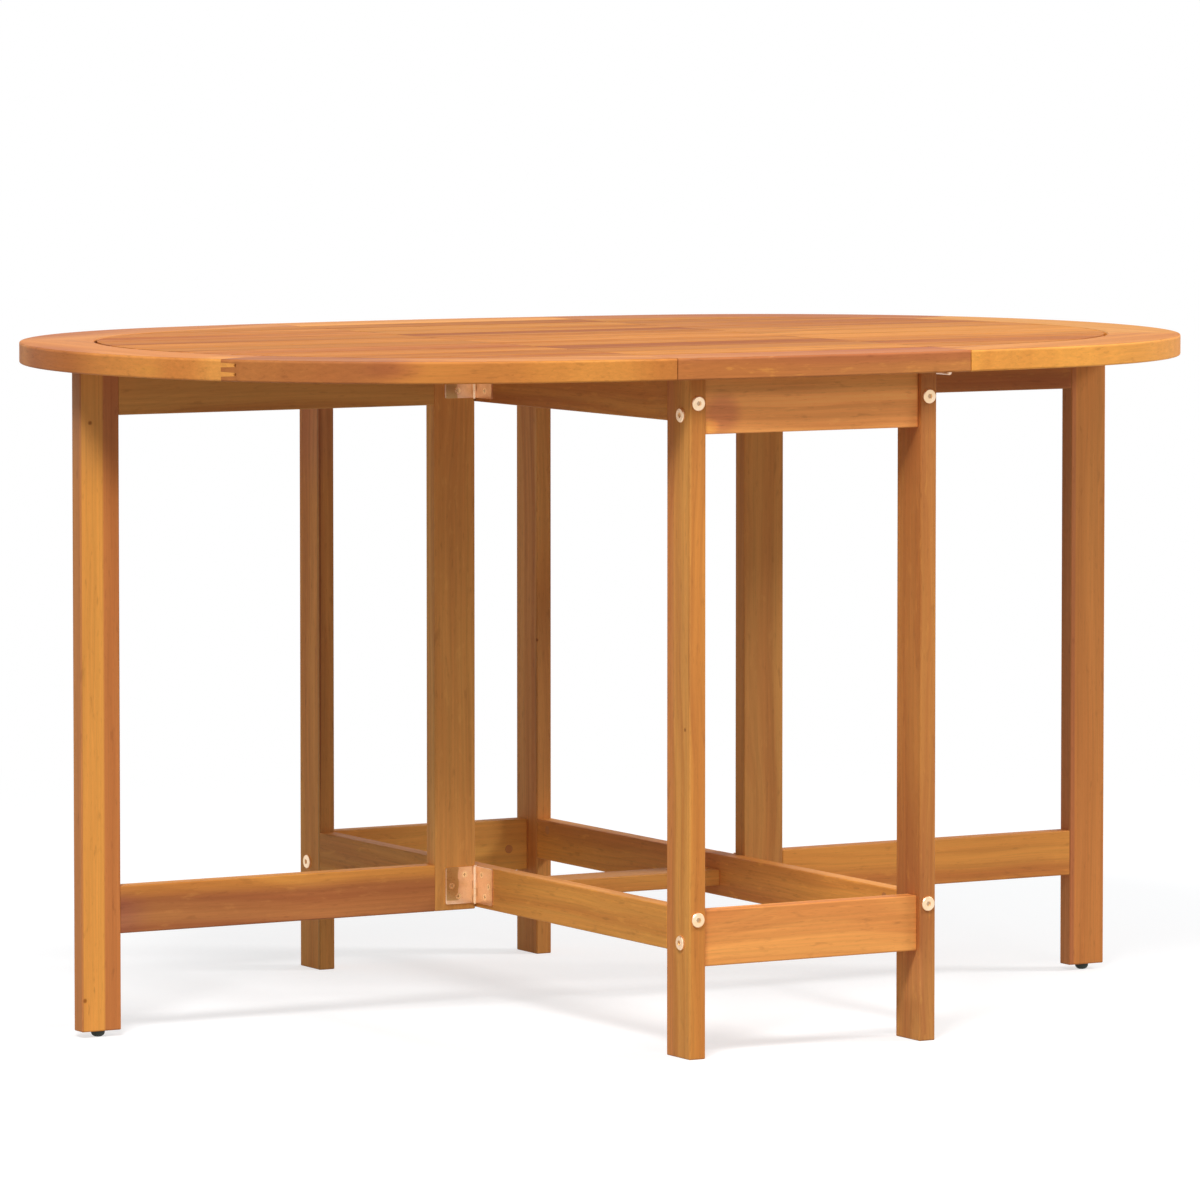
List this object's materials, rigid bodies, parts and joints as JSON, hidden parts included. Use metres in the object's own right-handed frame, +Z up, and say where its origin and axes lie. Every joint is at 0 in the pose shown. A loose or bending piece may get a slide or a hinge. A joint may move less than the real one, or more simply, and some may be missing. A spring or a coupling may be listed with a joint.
{
  "type": "folding garden table",
  "caption": "Oval drop-leaf garden table with gate legs: slatted oiled-wood top in a curved rim, hinged leaves and swinging gates on a bolted frame.",
  "frame": {"origin": "on the floor, under the middle of the top", "axes": "+X along the long axis of the oval, towards the right gate; +Y towards the back, away from the pictured long side; +Z up"},
  "size_m": [1.3424, 0.9588, 0.75],
  "materials": {
    "screw_steel": "zinc plated",
    "frame_wood": "oiled hardwood, satin",
    "top_wood": "oiled hardwood, satin",
    "bolt_metal": "warm gold plating, satin",
    "dowel_wood": "plain beech, unfinished",
    "hinge_screw_metal": "light gold plating, satin",
    "hinge_metal": "copper-coloured plating, satin",
    "glide_plastic": "dark, dull, nearly black"
  },
  "bodies": {
    "frame": {"barrel_nuts": "screw_steel", "centre_batten_left": "frame_wood", "centre_batten_right": "frame_wood", "centre_rim_back": "top_wood", "centre_rim_front": "top_wood", "centre_slat_screws": "screw_steel", "centre_slats": "top_wood", "connector_bolts": "bolt_metal", "end_rail_lower_back": "frame_wood", "end_rail_lower_front": "frame_wood", "end_rail_upper_back": "frame_wood", "end_rail_upper_front": "frame_wood", "frame_dowels": "dowel_wood", "frame_hinge_screws": "hinge_screw_metal", "gate_hinge_rail_leaves": "hinge_metal", "leaf_hinge_centre_plates": "hinge_metal", "leg_back_left": "frame_wood", "leg_back_right": "frame_wood", "leg_front_left": "frame_wood", "leg_front_right": "frame_wood", "lower_stretcher": "frame_wood", "side_rail_lower_left": "frame_wood", "side_rail_lower_right": "frame_wood", "side_rail_upper_left": "frame_wood", "side_rail_upper_right": "frame_wood", "top_fixing_screws": "screw_steel"},
    "left_gate": {"left_gate_glide": "glide_plastic", "left_gate_hinge_leaves": "hinge_metal", "left_gate_hinge_screws": "hinge_screw_metal", "left_gate_leg": "frame_wood", "left_gate_rail_lower": "frame_wood", "left_gate_rail_upper": "frame_wood", "left_gate_stile": "frame_wood"},
    "right_gate": {"right_gate_glide": "glide_plastic", "right_gate_hinge_leaves": "hinge_metal", "right_gate_hinge_screws": "hinge_screw_metal", "right_gate_leg": "frame_wood", "right_gate_rail_lower": "frame_wood", "right_gate_rail_upper": "frame_wood", "right_gate_stile": "frame_wood"},
    "left_leaf": {"left_leaf_gate_stop": "frame_wood", "left_leaf_hinge_plates": "hinge_metal", "left_leaf_hinge_screws": "hinge_screw_metal", "left_leaf_middle_batten": "frame_wood", "left_leaf_rim_back": "top_wood", "left_leaf_rim_end": "top_wood", "left_leaf_rim_front": "top_wood", "left_leaf_seam_batten": "frame_wood", "left_leaf_slat_screws": "screw_steel", "left_leaf_slats": "top_wood"},
    "right_leaf": {"right_leaf_gate_stop": "frame_wood", "right_leaf_hinge_plates": "hinge_metal", "right_leaf_hinge_screws": "hinge_screw_metal", "right_leaf_middle_batten": "frame_wood", "right_leaf_rim_back": "top_wood", "right_leaf_rim_end": "top_wood", "right_leaf_rim_front": "top_wood", "right_leaf_seam_batten": "frame_wood", "right_leaf_slat_screws": "screw_steel", "right_leaf_slats": "top_wood"}
  },
  "joints": [
    {"name": "left_gate_swing", "type": "hinge", "parent": "frame", "child": "left_gate", "pos_m": [-0.1575, 0.0199, 0.4], "axis": [0, 0, 1], "range_deg": [0, 90]},
    {"name": "right_gate_swing", "type": "hinge", "parent": "frame", "child": "right_gate", "pos_m": [0.1575, -0.0199, 0.4], "axis": [0, 0, 1], "range_deg": [0, 90]},
    {"name": "left_leaf_lift", "type": "hinge", "parent": "frame", "child": "left_leaf", "pos_m": [-0.1836, 0.2515, 0.7235], "axis": [0, 1, 0], "range_deg": [0, 2]},
    {"name": "right_leaf_lift", "type": "hinge", "parent": "frame", "child": "right_leaf", "pos_m": [0.1836, -0.2515, 0.7235], "axis": [0, -1, 0], "range_deg": [0, 2]}
  ]
}
